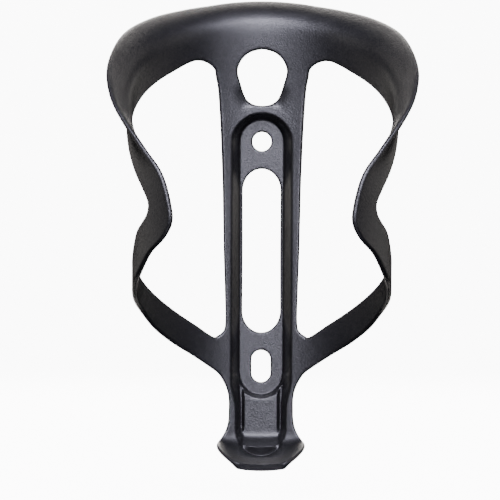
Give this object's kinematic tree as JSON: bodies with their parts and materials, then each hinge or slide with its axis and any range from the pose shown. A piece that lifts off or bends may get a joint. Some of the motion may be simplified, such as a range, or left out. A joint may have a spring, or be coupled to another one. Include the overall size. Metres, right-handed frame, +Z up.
{
  "type": "bicycle water bottle cage",
  "caption": "Satin black side-wing bottle cage: a flared collar, two springy gripping wings, a channelled spine with a bolt hole and slot, and a bent toe.",
  "frame": {"origin": "on the mounting pad's rear face, midway between the two bolt positions", "axes": "+Z up along the bottle and the line of the two bolts; +Y out of the rear face, towards the bicycle's frame tube; the bottle is on the -Y side"},
  "size_m": [0.0846, 0.069, 0.1317],
  "materials": {
    "moulding": "satin moulded plastic with a fine grain"
  },
  "bodies": {
    "spine": {"mounting_pad": "moulding", "left_rail": "moulding", "right_rail": "moulding", "head_panel": "moulding", "collar_bridge": "moulding", "lower_panel": "moulding", "toe": "moulding"},
    "wing_left": {"left_shoulder": "moulding", "left_upper_arm": "moulding", "left_grip_tip": "moulding", "left_lower_arm": "moulding"},
    "wing_right": {"right_shoulder": "moulding", "right_upper_arm": "moulding", "right_grip_tip": "moulding", "right_lower_arm": "moulding"}
  },
  "joints": [
    {"name": "left_wing_flex", "type": "hinge", "parent": "spine", "child": "wing_left", "pos_m": [-0.0159, -0.0036, 0], "axis": [0, 0, -1], "range_deg": [0, 4], "stiffness_Nm_per_rad": 2},
    {"name": "right_wing_flex", "type": "hinge", "parent": "spine", "child": "wing_right", "pos_m": [0.0159, -0.0036, 0], "axis": [0, 0, 1], "range_deg": [0, 4], "stiffness_Nm_per_rad": 2}
  ]
}
